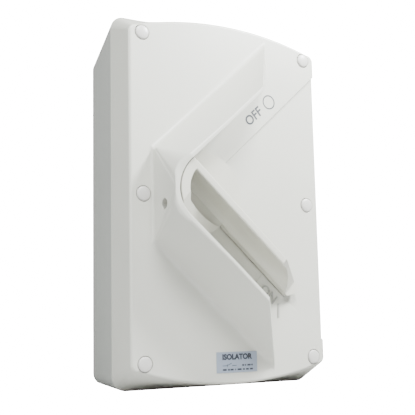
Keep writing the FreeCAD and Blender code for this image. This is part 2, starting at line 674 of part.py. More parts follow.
def make_pole(number, name):
    """One pole: an insulating stage, its rotor and bridge, and two fixed contacts with terminals."""
    back = stage_back(number)
    shift = "hub_x + %d * terminal_pitch" % (number - 1)
    tag = name.capitalize()
    block = box(tag + "Block", ("stage_size", "stage_thickness", "stage_size"), "hub_x", back, "0")
    shelf = box(tag + "Shelf", ("terminal_size + 3", "3", "stage_size + 30"), shift, back, "0")
    cavity = rod(tag + "Cavity", "cavity_radius", "stage_thickness", "hub_x", back + " + stage_floor", "0")
    opening = rod(tag + "Opening", "pivot_radius", "stage_thickness", "hub_x", back + " - 1", "0")
    slots = box(tag + "Slots", ("contact_width + 0.4", "stage_thickness", "stage_size + 2"), "hub_x",
                back + " + bar_level - 1.5", "0")
    holes = tie_rods(tag + "TieHole", "tie_radius + 0.4", "stage_thickness + 2", back + " - 1")
    solid = fuse(tag + "Solid", [block, shelf])
    subpart(cut(tag + "Housing", solid, fuse(tag + "Voids", [cavity, opening, slots] + holes)),
            "pole_housing_" + name)

    drum = rod(tag + "RotorDrum", "rotor_radius", "stage_thickness - stage_floor - 2 * rotor_gap", "hub_x",
               back + " + stage_floor + rotor_gap", "0")
    square = shaft_hole(tag + "RotorSquare", back)
    bridge_gap = box(tag + "BridgeGap", ("2 * shaft_size", "blade_gauge + 0.1", "stage_size"), "hub_x",
                     back + " + blade_level - 0.05", "0")
    subpart(cut(tag + "Rotor", drum, fuse(tag + "RotorVoids", [square, bridge_gap])), "contact_rotor_" + name)

    arms = box(tag + "BridgeBar", ("contact_width + 1", "blade_gauge", "blade_reach * 2"), "hub_x",
               back + " + blade_level", "0")
    reach = rod(tag + "BridgeReach", "blade_reach", "blade_gauge + 1", "hub_x",
                back + " + blade_level - 0.5", "0")
    bridge = doc.addObject("Part::MultiCommon", tag + "BridgeRound")
    bridge.Shapes = [arms, reach]
    plate = box(tag + "BridgePlate", ("2 * shaft_size", "blade_gauge", "2 * shaft_size"), "hub_x",
                back + " + blade_level", "0")
    middle = rod(tag + "BridgeHole", "shaft_size * 0.72", "blade_gauge + 2", "hub_x",
                 back + " + blade_level - 1", "0")
    subpart(cut(tag + "Bridge", fuse(tag + "BridgeSolid", [bridge, plate]), middle), "moving_contact_" + name)

    level = back + " + bar_level"
    bars = []
    clamps = []
    for side, word in ((1, "Line"), (-1, "Load")):
        label = tag + word
        height = "%d * terminal_height" % side
        pad = box(label + "Pad", ("contact_width", "2 * bar_gauge", "8"), "hub_x", level,
                  "%d * (contact_radius + 3)" % side)
        neck = box(label + "Neck", ("contact_width", "bar_gauge", "8"), "hub_x", level,
                   "%d * (stage_size / 2)" % side)
        link_width = "contact_width + %d * terminal_pitch" % abs(number - 1)
        link_centre = "hub_x + %d * terminal_pitch / 2" % (number - 1)
        link = box(label + "Link", (link_width, "bar_gauge", "3.5"), link_centre, level,
                   "%d * (terminal_height - 7)" % side)
        tongue = box(label + "Tongue", ("tongue_width", "bar_gauge", "14"), shift, level,
                     "%d * (terminal_height - 2)" % side)
        sweep = rod(label + "Sweep", "contact_radius", "3 * bar_gauge", "hub_x", level + " - 1", "0")
        bars.append(cut(label + "Bar", fuse(label + "Copper", [pad, neck, link, tongue]), sweep))
        cage = box(label + "Cage", ("terminal_size - 1.8", "stage_thickness - 3.4", "9"), shift,
                   back + " + 3.2", height)
        mouth = box(label + "Mouth", ("tongue_width + 0.4", "stage_thickness - 6", "20"), shift,
                    level + " - 0.1", height)
        tapped = rod(label + "Tapped", "2.05", "20", shift, level + " + bar_gauge", height)
        clamps.append(cut(label + "Clamp", cage, fuse(label + "ClampVoids", [mouth, tapped])))
    subpart(group(tag + "FixedContacts", bars), "fixed_contacts_" + name)
    subpart(group(tag + "Clamps", clamps), "terminal_clamps_" + name)


def make_terminal_screws():
    screws = []
    for number, name in enumerate(POLES):
        for side, word in ((1, "Line"), (-1, "Load")):
            label = name.capitalize() + word
            x = "hub_x + %d * terminal_pitch" % (number - 1)
            z = "%d * terminal_height" % side
            back = stage_back(number)
            shank = rod(label + "ScrewShank", "2", "6", x, back + " + bar_level + bar_gauge + 0.3", z)
            head = rod(label + "ScrewHead", "3.2", "3", x, back + " + stage_thickness - 0.2", z)
            slot = box(label + "ScrewSlot", ("6", "1.2", "1"), x, back + " + stage_thickness + 1.8", z)
            screws.append(cut(label + "Screw", fuse(label + "ScrewSolid", [shank, head]), slot))
    subpart(group("TerminalScrews", screws), "terminal_screws")


def make_index_mechanism():
    """Front stage of the stack: a four notch cam between two leaf springs."""
    back = stage_back(len(POLES))
    block = box("IndexBlock", ("stage_size", "index_thickness", "stage_size"), "hub_x", back, "0")
    cavity = rod("IndexCavity", "cam_radius + 6", "index_thickness - 1", "hub_x", back + " - 1", "0")
    opening = rod("IndexOpening", "pivot_radius", "index_thickness + 2", "hub_x", back + " - 1", "0")
    holes = tie_rods("IndexTieHole", "tie_radius + 0.4", "index_thickness + 2", back + " - 1")
    grooves = [box("LeafGroove%d" % (side + 1), ("1.2", "index_thickness - 1", "leaf_length + 0.2"),
                   "hub_x + %d * leaf_offset" % side, back + " - 1", "0") for side in (-1, 1)]
    voids = fuse("IndexVoids", [cavity, opening] + grooves + holes)
    subpart(cut("IndexHousing", block, voids), "index_housing")

    disc = rod("IndexDisc", "cam_radius", "6", "hub_x", back + " + 3.5", "0")
    square = shaft_hole("IndexSquare", back)
    notches = [rod("IndexNotch%d%d" % (sx + 1, sz + 1), "3", "index_thickness",
                   "hub_x + %d * (cam_radius + 1)" % sx, back, "%d * (cam_radius + 1)" % sz)
               for sx, sz in ((-1, 0), (1, 0), (0, -1), (0, 1))]
    subpart(cut("IndexCam", disc, fuse("IndexCamVoids", [square] + notches)), "index_cam")

    leaves = [box("Leaf%d" % (side + 1), ("1", "5", "leaf_length"), "hub_x + %d * leaf_offset" % side,
                  back + " + 4", "0") for side in (-1, 1)]
    subpart(group("IndexSprings", leaves), "index_springs")


def make_shaft_and_fixings():
    length = "face_depth - sector_depth - 3 - stack_start"
    shaft = box("DriveShaft", ("shaft_size", length, "shaft_size"), "hub_x", "stack_start - 0.5", "0")
    subpart(shaft, "drive_shaft")

    plate = box("EndPlateBlock", ("stage_size", "3", "stage_size"), "hub_x", "stack_start - 3", "0")
    holes = tie_rods("EndPlateHole", "tie_radius + 0.4", "5", "stack_start - 4")
    pivot = rod("EndPlatePivot", "pivot_radius", "5", "hub_x", "stack_start - 1", "0")
    subpart(cut("EndPlate", plate, fuse("EndPlateVoids", holes + [pivot])), "stack_end_plate")

    stack_front = "stack_start + 3 * stage_thickness + index_thickness"
    start = "plate_back - 1"
    shanks = tie_rods("TieShank", "tie_radius", stack_front + " - (%s)" % start, start)
    heads = tie_rods("TieHead", "3.2", "2.4", stack_front)
    screws = [fuse("TieScrew%d" % number, list(pair)) for number, pair in enumerate(zip(shanks, heads))]
    subpart(group("TieScrews", screws), "stack_tie_screws")


def make_mounting_plate():
    sheet_metal = box("PlateSheet", ("plate_width", "plate_thickness", "plate_height"), "0", "plate_back",
                      "0")
    holes = [rod("PlateHole%d%d" % (sx + 1, sz + 1), "2.3", "6", "%d * plate_screw_half_x" % sx,
                 "plate_back - 1", "%d * plate_screw_half_z" % sz) for sx, sz in CORNERS]
    holes += tie_rods("PlateThread", "tie_radius", "6", "plate_back - 1")
    window = box("PlateWindow", ("30", "6", "60"), "bar_block_x - 2", "plate_back - 1", "0")
    subpart(cut("MountingPlate", sheet_metal, fuse("PlateVoids", holes + [window])), "mounting_plate")

    screws = []
    for sx, sz in CORNERS:
        tag = "PlateScrew%d%d" % (sx + 1, sz + 1)
        x = "%d * plate_screw_half_x" % sx
        z = "%d * plate_screw_half_z" % sz
        shank = rod(tag + "Shank", "screw_radius - 0.1", "9", x, "plate_back + plate_thickness - 9", z)
        head = rod(tag + "Head", "screw_head_radius", "2.4", x, "plate_back + plate_thickness", z)
        screws.append(fuse(tag, [shank, head]))
    subpart(group("PlateScrews", screws), "plate_screws")


def make_bar_block(label, centre_z):
    """Brass bar with screws on an insulating foot, for the earth or neutral conductors."""
    tag = label.capitalize()
    x = "bar_block_x"
    back = "plate_back + plate_thickness"
    subpart(box(tag + "Foot", ("40", "6", "14"), x, back, centre_z), label + "_support")
    bar = box(tag + "Bar", ("36", "8", "9"), x, back + " + 6", centre_z)
    way_count, way_pitch = 4, 8.5
    ways = []
    screws = []
    for way in range(way_count):
        spot = "%s + %g" % (x, way_pitch * (way - (way_count - 1) / 2))
        ways.append(upright(tag + "Way%d" % way, "2.4", "20", spot, back + " + 9.4", "(%s) - 10" % centre_z))
        ways.append(rod(tag + "Thread%d" % way, "1.55", "10", spot, back + " + 10", centre_z))
        shank = rod(tag + "Shank%d" % way, "1.5", "3.5", spot, back + " + 12", centre_z)
        head = rod(tag + "Head%d" % way, "2.6", "2", spot, back + " + 14.2", centre_z)
        screws.append(fuse(tag + "Screw%d" % way, [shank, head]))
    subpart(cut(tag + "Drilled", bar, fuse(tag + "Ways", ways)), label + "_bar")
    subpart(group(tag + "Screws", screws), label + "_screws")


def make_entry_plugs():
    """Blanking plugs square to the sloping top wall; the bottom entries are left open for the cables."""
    entry = top_entry()
    plugs = []
    for sx in (-1, 1):
        tag = "Plug%d" % (sx + 1)
        pieces = []
        for part, radius, bottom, length in (("Body", "entry_radius - 0.1", -9, 9.5),
                                             ("Flange", "entry_radius + 2", 0, 2.2)):
            piece = doc.addObject("Part::Cylinder", tag + part)
            bind(piece, Radius=radius, Height=str(length))
            centre = V(sx * dim("entry_half_pitch"), 0, bottom)
            piece.Placement = entry.multiply(FreeCAD.Placement(centre, FreeCAD.Rotation()))
            pieces.append(piece)
        plugs.append(fuse(tag, pieces))
    subpart(group("EntryPlugs", plugs), "entry_plugs")


def make_label():
    body = new_body("RatingLabel")
    film = new_sketch(body, "LabelOutline", "face_depth")
    left, right = dim("label_left"), dim("label_right")
    bottom, top = dim("label_bottom"), dim("label_top")
    outline(film, [(left, bottom), (right, bottom), (right, top), (left, top)])
    feature(body, "Pad", "LabelFilm", film, Length="label_gauge")
    return subpart(body, "rating_label")


def check_and_write():
    doc.recompute()
    for item in doc.Objects:
        if "Invalid" in item.State or "Error" in item.State:
            raise RuntimeError("failed feature: %s %s" % (item.Label, item.State))
    os.makedirs("parts", exist_ok=True)
    for item in SUBPARTS:
        if item.Shape.isNull() or not item.Shape.isValid():
            raise RuntimeError("bad shape: " + item.Label)
        item.Shape.exportStep("parts/%s.step" % item.Label)
        print("%-26s %2d solid(s) %10.1f mm3" % (item.Label, len(item.Shape.Solids), item.Shape.Volume))


make_rear_base()
make_front_cover()
make_gasket()
make_cover_screws_and_caps()
make_handle()
make_handle_seal_and_clip()
for pole_number, pole_name in enumerate(POLES):
    make_pole(pole_number, pole_name)
make_terminal_screws()
make_index_mechanism()
make_shaft_and_fixings()
make_mounting_plate()
make_bar_block("earth", "-bar_block_z")
make_bar_block("neutral", "bar_block_z")
make_entry_plugs()
make_label()
check_and_write()
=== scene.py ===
import bmesh
import bpy
import json
import math
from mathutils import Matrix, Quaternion, Vector


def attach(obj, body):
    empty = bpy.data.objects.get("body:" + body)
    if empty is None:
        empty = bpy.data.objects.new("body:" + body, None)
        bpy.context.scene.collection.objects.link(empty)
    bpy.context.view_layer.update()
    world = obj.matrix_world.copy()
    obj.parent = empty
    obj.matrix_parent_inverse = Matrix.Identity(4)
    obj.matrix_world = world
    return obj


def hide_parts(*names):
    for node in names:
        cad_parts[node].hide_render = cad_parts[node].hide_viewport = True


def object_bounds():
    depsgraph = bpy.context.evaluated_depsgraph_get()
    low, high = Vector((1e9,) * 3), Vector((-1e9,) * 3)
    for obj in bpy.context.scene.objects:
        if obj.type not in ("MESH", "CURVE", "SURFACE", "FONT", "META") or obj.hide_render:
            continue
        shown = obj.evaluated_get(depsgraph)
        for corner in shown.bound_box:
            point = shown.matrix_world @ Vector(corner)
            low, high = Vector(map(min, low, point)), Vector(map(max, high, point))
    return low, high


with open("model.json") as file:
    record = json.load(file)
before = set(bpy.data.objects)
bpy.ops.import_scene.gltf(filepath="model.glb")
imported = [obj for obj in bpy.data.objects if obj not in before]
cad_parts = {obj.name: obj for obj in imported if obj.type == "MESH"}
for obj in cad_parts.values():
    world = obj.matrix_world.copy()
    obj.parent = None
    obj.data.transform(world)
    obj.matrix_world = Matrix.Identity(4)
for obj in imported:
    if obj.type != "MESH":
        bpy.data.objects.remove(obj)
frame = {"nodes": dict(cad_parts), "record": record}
cad_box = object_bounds()
nodes = frame["nodes"]

# Shapes are drawn in millimetres, as the CAD is, and scaled once when a piece is finished.
# Heights and levels are counted forward from the case's face.
MM = 0.001
FACE_DEPTH = 82.0
RISE = 24.5                      # joint to face
WALL = 3.5
HALF_WIDTH, HALF_HEIGHT, RIM_CORNER = 79.5, 128.0, 10.0
FACE_HALF_WIDTH, FACE_HALF_HEIGHT, FACE_CORNER, FACE_CROWN = 77.0, 114.5, 5.0, 11.0
HUB_X = -30.0
SLANT = math.radians(42.3)       # guard arms and the handle's two positions
SECTOR_DEPTH = 1.9
GUARD_HEIGHT = 36.0
GUARD_FLAT = 30.4                # flat on the guard's point, left of the hub
GUARD_DIP = 31.3                 # ridge height on the point
GUARD_INNER = 27.1               # inner side, from the hub line
GUARD_FOOT = 43.3                # outer side at the face, from the hub line
GUARD_LEAN = 13.7                # how far the outer side leans in over the guard's height
GUARD_FLARE = 47.2               # where the flared foot ends
FOOT_CURVE = 4.0
FLARE_SPREAD = 0.6               # how much of the flare the flat on the point keeps
GUARD_EDGE, EDGE_GROWTH = 1.3, 1.5   # outer edge's radius on the arms, and what the point adds
GUARD_INNER_EDGE = 0.4
ARM_END = 33.0                   # end of the arms at the face
ARM_LEAN = 27.8                  # how far the ends lean back over the guard's height
DIP_START, DIP_RUN = -45.0, 12.0
BLEND = 0.5                      # width of the soft change where two slopes meet
LOCK_Z, LOCK_HEIGHT = -8.5, 15.8
SCREW_HOLE = 2.4
WELL, WELL_DEPTH, WELL_MOUTH = 5.3, 9.0, 0.35
TUBE = 6.9
COLLAR, COLLAR_BACK = 19.0, -10.4
SPIGOT_HOLE, DRUM_RECESS = 14.05, 27.0
CAP_SPOTS = [(sx * 67.25, sz * 110.0) for sx in (-1, 1) for sz in (-1, 0, 1)]
UP_ARM = Vector((math.cos(SLANT), math.sin(SLANT)))
UP_OUT = Vector((-math.sin(SLANT), math.cos(SLANT)))
DOWN_ARM = Vector((UP_ARM.x, -UP_ARM.y))
DOWN_OUT = Vector((UP_OUT.x, -UP_OUT.y))


# ---------------------------------------------------------------- mesh helpers
def spot(x, z, height):
    return Vector((x, -FACE_DEPTH - height, z))


def arc_steps(degrees):
    """Cosine and sine of each angle."""
    return [(math.cos(math.radians(a)), math.sin(math.radians(a))) for a in degrees]


def circle(count):
    """Cosine and sine of evenly spaced angles, once round."""
    return [(math.cos(2 * math.pi * k / count), math.sin(2 * math.pi * k / count)) for k in range(count)]


def rounded(corners, steps=5):
    """Closed path whose corners (x, y, radius) are turned into arcs."""
    path = []
    for number, (x, y, radius) in enumerate(corners):
        here = Vector((x, y))
        if radius <= 0:
            path.append(here)
            continue
        before = (Vector(corners[number - 1][:2]) - here).normalized()
        after = (Vector(corners[(number + 1) % len(corners)][:2]) - here).normalized()
        half = before.angle(after) / 2
        centre = here + (before + after).normalized() * (radius / math.sin(half))
        first = here + before * (radius / math.tan(half)) - centre
        last = here + after * (radius / math.tan(half)) - centre
        start = math.atan2(first.y, first.x)
        sweep = math.atan2(last.y, last.x) - start
        sweep = (sweep + math.pi) % (2 * math.pi) - math.pi
        for k in range(steps + 1):
            angle = start + sweep * k / steps
            path.append(centre + radius * Vector((math.cos(angle), math.sin(angle))))
    return path


def arc_through(a, b, c, steps):
    """Points on the circle through a, b and c, from a to c."""
    a, b, c = Vector(a), Vector(b), Vector(c)
    d = 2 * (a.x * (b.y - c.y) + b.x * (c.y - a.y) + c.x * (a.y - b.y))
    aa, bb, cc = a.length_squared, b.length_squared, c.length_squared
    centre = Vector(((aa * (b.y - c.y) + bb * (c.y - a.y) + cc * (a.y - b.y)) / d,
                     (aa * (c.x - b.x) + bb * (a.x - c.x) + cc * (b.x - a.x)) / d))
    radius = (a - centre).length
    angles = [math.atan2(p.y - centre.y, p.x - centre.x) for p in (a, b, c)]
    turn = 2 * math.pi
    forward = (angles[1] - angles[0]) % turn < (angles[2] - angles[0]) % turn
    sweep = (angles[2] - angles[0]) % turn if forward else -((angles[0] - angles[2]) % turn)
    return [centre + radius * Vector((math.cos(angles[0] + sweep * k / steps),
                                      math.sin(angles[0] + sweep * k / steps))) for k in range(steps + 1)]


def skin(rows):
    """Points and faces of a closed solid over rows of equally many points."""
    count = len(rows[0])
    points = [p for row in rows for p in row]
    faces = [tuple(range(count - 1, -1, -1)), tuple(range(len(points) - count, len(points)))]
    for row in range(len(rows) - 1):
        a, b = row * count, (row + 1) * count
        for i in range(count):
            j = (i + 1) % count
            faces.append((a + i, a + j, b + j, b + i))
    return points, faces


def together(*parts):
    """Several shapes as one."""
    points, faces = [], []
    for more_points, more_faces in parts:
        start = len(points)
        points += more_points
        faces += [tuple(start + i for i in face) for face in more_faces]
    return points, faces


def turned(profile, to_space, count=64):
    """Solid of revolution: profile rows (radius, level), placed by to_space(x, y, level)."""
    return skin([[to_space(r * c, r * s, level) for c, s in circle(count)] for r, level in profile])


def on_face(x, z, base=0.0):
    """Placing function round a spot on the face, at a level above it."""
    return lambda a, b, level: spot(x + a, z + b, base + level)


def in_scene(name, data):
    """New object, linked to the scene."""
    obj = bpy.data.objects.new(name, data)
    bpy.context.scene.collection.objects.link(obj)
    return obj


def evaluated_mesh(obj):
    """Mesh of an object with its modifiers or its letters worked out."""
    bpy.context.view_layer.update()
    return bpy.data.meshes.new_from_object(obj.evaluated_get(bpy.context.evaluated_depsgraph_get()))


def solid(name, shape):
    """Object from points and faces, with its faces turned outwards."""
    mesh = bpy.data.meshes.new(name)
    mesh.from_pydata([tuple(p) for p in shape[0]], [], shape[1])
    work = bmesh.new()
    work.from_mesh(mesh)
    bmesh.ops.recalc_face_normals(work, faces=work.faces)
    work.to_mesh(mesh)
    work.free()
    return in_scene(name, mesh)


def combine(target, shape, operation):
    """Joins or cuts the target with another closed shape or object."""
    tool = solid("tool", shape) if isinstance(shape, tuple) else shape
    change = target.modifiers.new("change", "BOOLEAN")
    change.operation = operation
    change.object = tool
    change.solver = "EXACT"
    result = evaluated_mesh(target)
    target.modifiers.clear()
    target.data = result
    bpy.data.objects.remove(tool)


MERGE = 0.004                    # points closer than this become one
FACE_WEIGHT = 90                 # how far large faces rule the shading of their edges


def finish(obj, body, mat, replaces=(), sharp=32.0, weighted=True):
    """Scales to metres, sets the shading, and ties the piece to its body, slot and CAD node."""
    work = bmesh.new()
    work.from_mesh(obj.data)
    bmesh.ops.remove_doubles(work, verts=work.verts, dist=MERGE)
    bmesh.ops.scale(work, vec=(MM, MM, MM), verts=work.verts)
    work.to_mesh(obj.data)
    work.free()
    for face in obj.data.polygons:
        face.use_smooth = True
    obj.data.set_sharp_from_angle(angle=math.radians(sharp))
    if weighted:
        flat = obj.modifiers.new("Flat faces", "WEIGHTED_NORMAL")
        flat.keep_sharp = True
        flat.weight = FACE_WEIGHT
    paint(obj, mat)
    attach(obj, body)
    if replaces:
        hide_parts(*replaces)


# ---------------------------------------------------------------- materials
DRIFT_SCALE = 18.0               # patches of colour per metre
GLOSS_SPREAD = 0.05
GRAIN_DEPTH = 0.0002


def material(name, colour, roughness, metallic=0.0, specular=0.5, mottle=0.02, grain=0.05, grain_size=0.0006):
    """Moulded or metal surface: a little drift in the colour, fine grain in the relief and the gloss."""
    mat = bpy.data.materials.new(name)
    mat.use_nodes = True
    tree = mat.node_tree
    shader = tree.nodes["Principled BSDF"]
    shader.inputs["Metallic"].default_value = metallic
    shader.inputs["Specular IOR Level"].default_value = specular
    where = tree.nodes.new("ShaderNodeTexCoord")
    drift = tree.nodes.new("ShaderNodeTexNoise")
    drift.inputs["Scale"].default_value = DRIFT_SCALE
    drift.inputs["Detail"].default_value = 4.0
    tree.links.new(where.outputs["Object"], drift.inputs["Vector"])
    ramp = tree.nodes.new("ShaderNodeValToRGB")
    ramp.color_ramp.elements[0].position = 0.3
    ramp.color_ramp.elements[1].position = 0.7
    ramp.color_ramp.elements[0].color = [c * (1 - mottle) for c in colour] + [1]
    ramp.color_ramp.elements[1].color = [min(1, c * (1 + mottle)) for c in colour] + [1]
    tree.links.new(drift.outputs["Fac"], ramp.inputs["Fac"])
    tree.links.new(ramp.outputs["Color"], shader.inputs["Base Color"])
    fine = tree.nodes.new("ShaderNodeTexNoise")
    fine.inputs["Scale"].default_value = 1.0 / grain_size
    fine.inputs["Detail"].default_value = 2.0
    tree.links.new(where.outputs["Object"], fine.inputs["Vector"])
    gloss = tree.nodes.new("ShaderNodeMapRange")
    gloss.inputs["To Min"].default_value = roughness - GLOSS_SPREAD
    gloss.inputs["To Max"].default_value = roughness + GLOSS_SPREAD
    tree.links.new(fine.outputs["Fac"], gloss.inputs["Value"])
    tree.links.new(gloss.outputs["Result"], shader.inputs["Roughness"])
    bump = tree.nodes.new("ShaderNodeBump")
    bump.inputs["Strength"].default_value = grain
    bump.inputs["Distance"].default_value = GRAIN_DEPTH
    tree.links.new(fine.outputs["Fac"], bump.inputs["Height"])
    tree.links.new(bump.outputs["Normal"], shader.inputs["Normal"])
    return mat


def paint(obj, mat):
    obj.data.materials.clear()
    obj.data.materials.append(mat)


CASE = material("case_plastic", (0.50, 0.50, 0.44), roughness=0.36)
# The base is the case's plastic, painted darker to stand in for the shade on its sides: painted shade.
SHADED_BASE = material("base_plastic_painted_shade", (0.43, 0.44, 0.40), roughness=0.46)
HANDLE = material("handle_plastic", (0.50, 0.495, 0.425), roughness=0.34)
CAP = material("cap_plastic", (0.50, 0.49, 0.455), roughness=0.35)
PRINT = material("mark_print", (0.03, 0.033, 0.04), roughness=0.5, mottle=0.1)
# Darker grey for the raised ON letters and bar, which are the case's own plastic: painted shade standing in
# for the shading of their relief.
RELIEF_SHADE = material("mark_relief_painted_shade", (0.30, 0.30, 0.27), roughness=0.4)
FILM = material("label_film", (0.25, 0.285, 0.34), roughness=0.3, mottle=0.015, grain=0.02)
PLUG = material("plug_plastic", (0.62, 0.63, 0.61), roughness=0.5)
RUBBER = material("seal_rubber", (0.03, 0.03, 0.03), roughness=0.75, specular=0.3, grain=0.2)
INSULATOR = material("insulator_plastic", (0.12, 0.12, 0.125), roughness=0.5, mottle=0.08, grain=0.1)
CAM = material("cam_plastic", (0.55, 0.53, 0.47), roughness=0.4)
ZINC = material("zinc_steel", (0.62, 0.63, 0.64), roughness=0.35, metallic=1.0, mottle=0.06)
SPRING = material("spring_steel", (0.5, 0.5, 0.52), roughness=0.28, metallic=1.0, mottle=0.05)
PLATE = material("plate_steel", (0.58, 0.59, 0.58), roughness=0.42, metallic=1.0, mottle=0.08,
                 grain_size=0.0015)
BRASS = material("bar_brass", (0.78, 0.58, 0.28), roughness=0.32, metallic=1.0, mottle=0.06)
COPPER = material("contact_copper", (0.82, 0.45, 0.3), roughness=0.3, metallic=1.0, mottle=0.07)
SLOTS = {"case_plastic": CASE, "handle_plastic": HANDLE, "cap_plastic": CAP, "plug_plastic": PLUG,
         "label_film": FILM, "seal_rubber": RUBBER, "insulator_plastic": INSULATOR, "cam_plastic": CAM,
         "zinc_steel": ZINC, "spring_steel": SPRING, "plate_steel": PLATE, "bar_brass": BRASS,
         "contact_copper": COPPER}

for entry in frame["record"]["subparts"]:
    paint(nodes[entry["node"]], SLOTS[entry["material_slot"]])
# Rear base in the darker copy of the case plastic: painted shade.
paint(nodes["rear_base"], SHADED_BASE)


# ---------------------------------------------------------------- front cover
def panel(half_width, top, corner, crown):
    """Outline of an upright panel, always with the same number of points; top and bottom may bow out."""
    points = []
    reach = half_width - corner
    bow_radius = (reach ** 2 + crown ** 2) / (2 * crown) if crown else 0.0

    def bow(sign):
        for k in range(1, 24):
            x = sign * reach * (1 - k / 12)
            swell = math.sqrt(bow_radius ** 2 - x ** 2) - bow_radius + crown if crown else 0.0
            points.append(Vector((x, sign * (top + swell))))

    for quarter, (sx, sz) in enumerate([(1, 1), (-1, 1), (-1, -1), (1, -1)]):
        for k in range(9):
            angle = math.pi / 2 * (quarter + k / 8)
            points.append(Vector((sx * reach + corner * math.cos(angle),
                                  sz * (top - corner) + corner * math.sin(angle))))
        if quarter % 2 == 0:
            bow(sz)
    return points


def outward(points):
    """Unit normals of an outline that runs anticlockwise."""
    normals = []
    for i in range(len(points)):
        run = points[(i + 1) % len(points)] - points[i - 1]
        normals.append(Vector((run.y, -run.x)).normalized())
    return normals


RIM = panel(HALF_WIDTH, HALF_HEIGHT, RIM_CORNER, 0.0)
FRONT = panel(FACE_HALF_WIDTH, FACE_HALF_HEIGHT, FACE_CORNER, FACE_CROWN)


def cover_block(level, inset, radius=2.0):
    """Cover as a solid block whose face lies at a level, with its front edge rounded."""
    normals = outward(FRONT)
    rows = [[spot(*(rim - n * inset), -RISE + inset) for rim, n in zip(RIM, normals)]]
    for k in range(7):
        row = []
        for rim, face, n in zip(RIM, FRONT, normals):
            drift = rim - face
            out = drift.dot(n)
            along = drift - n * out
            lean = math.atan2(out, RISE)
            turn = lean + (math.pi / 2 - lean) * k / 6
            inwards = radius * ((1 - math.sin(lean)) / math.cos(lean) - math.cos(turn)) + inset
            drop = radius * (math.sin(turn) - 1)
            edge = face + drift * (-level / RISE) + along * (-drop / RISE) - n * inwards
            row.append(spot(edge.x, edge.y, level + drop))
        rows.append(row)
    return skin(rows)


def sector_tool(radius=0.5):
    """Wedge between the handle's two positions, with a rounded upper edge."""
    edge = 1.0                   # outside the hub lines
    levels = [(edge, -6.0), (edge, -radius)]
    levels += [(edge + radius * (1 - c), radius * (s - 1)) for c, s in arc_steps((18, 36, 54, 72))]
    levels += [(edge + radius, 0.03), (edge + radius, 3.0)]
    rows = []
    for offset, level in levels:
        row = []
        for arm, out in ((DOWN_ARM, DOWN_OUT), (UP_ARM, UP_OUT)):
            near = Vector((HUB_X, 0)) + out * offset
            far = near + arm * 160
            ends = [near, far] if arm is DOWN_ARM else [far, near]
            row += [spot(p.x, p.y, level) for p in ends]
        rows.append(row)
    return skin(rows)


def smooth_min(a, b, blend=BLEND):
    """The smaller of two values, with a soft change from one to the other."""
    h = max(blend - abs(a - b), 0.0) / blend
    return min(a, b) - h * h * blend / 4


def ridge_height(x):
    """The ridge slopes down towards the guard's point."""
    slope = GUARD_HEIGHT + (x - DIP_START) * (GUARD_HEIGHT - GUARD_DIP) / DIP_RUN
    return -smooth_min(-smooth_min(GUARD_HEIGHT, slope), -GUARD_DIP)


def outer_side(height):
    """Distance of the guard's outer side from the hub line."""
    return GUARD_FOOT - GUARD_LEAN * height / GUARD_HEIGHT


def point_flat(offset, height):
    """Distance of the flat on the guard's point from the hub, which widens over the flared foot."""
    return GUARD_FLAT + max(0.0, offset - outer_side(max(0.0, height))) * FLARE_SPREAD


def guard_section(top):
    """Section across the guard as (distance from the hub line, height).

    The foot is flared and starts below the face. The outer edge is rounder where the ridge dips.
    """
    soft = (GUARD_HEIGHT - top) / (GUARD_HEIGHT - GUARD_DIP)
    low_edge = GUARD_FLARE + 0.05
    return rounded([(low_edge, -1.0, 0), (low_edge, -0.02, 0), (GUARD_FLARE, 0.05, 0),
                    (GUARD_FOOT, 0.05, FOOT_CURVE), (outer_side(top), top, GUARD_EDGE + EDGE_GROWTH * soft),
                    (GUARD_INNER, top, GUARD_INNER_EDGE), (GUARD_INNER, -1.0, 0)], steps=6)


def guard():
    """Arrow shaped guard: one section swept along arm, point and arm, flat on its point."""
    reach = math.pi / 2 - SLANT

    def place(index, bend):
        """Where one point of the section lies once the sweep has turned; the ridge sets its height."""
        top = GUARD_HEIGHT
        for _ in range(3):
            offset, height = guard_section(top)[index]
            x = HUB_X - smooth_min(offset * math.cos(bend), point_flat(offset, height))
            top = ridge_height(x)
        return Vector((x, offset * math.sin(bend))), height

    columns = []
    for index, (offset, height) in enumerate(guard_section(GUARD_HEIGHT)):
        flat = point_flat(offset, height)
        end_x = ARM_END - ARM_LEAN * height / GUARD_HEIGHT
        run = (end_x - HUB_X + offset * math.sin(SLANT)) / math.cos(SLANT)
        start = Vector((HUB_X, 0)) + UP_OUT * offset
        half = [(start + UP_ARM * run, height), (start + UP_ARM * run * 0.5, height)]
        crease = math.acos(min(1.0, flat / offset)) if offset > flat else 0.0
        crease = max(min(crease, reach - 0.02), 0.09)
        step = min(0.03, (reach - crease) / 2, crease / 3)
        bends = [reach - (reach - crease - step) * k / 14 for k in range(15)] + [crease]
        bends += [(crease - step) * (1 - k / 10) for k in range(11)]
        half += [place(index, bend) for bend in bends]
        line = half + [(Vector((p.x, -p.y)), h) for p, h in reversed(half[:-1])]
        columns.append([spot(p.x, p.y, h) for p, h in line])
    return skin([list(ring) for ring in zip(*columns)])


def soft_ends(shape, width):
    """Rounds the edges of the two end faces."""
    work = bmesh.new()
    points = [work.verts.new(p) for p in shape[0]]
    faces = [work.faces.new([points[i] for i in face]) for face in shape[1]]
    edges = {edge for face in faces[:2] for edge in face.edges}
    bmesh.ops.recalc_face_normals(work, faces=work.faces)
    low = {v for v in points if v.co.y > -FACE_DEPTH + 0.5}
    edges = [edge for edge in edges if not (edge.verts[0] in low and edge.verts[1] in low)]
    bmesh.ops.bevel(work, geom=edges, offset=width, segments=4, profile=0.5, affect="EDGES",
                    clamp_overlap=True)
    mesh = bpy.data.meshes.new("guard")
    work.to_mesh(mesh)
    work.free()
    return in_scene("guard", mesh)


def cap_level(x, z):
    """Level of the face round a screw: the one in the middle of the right side is in the sector."""
    return -SECTOR_DEPTH if (x > 0 and z == 0) else 0.0


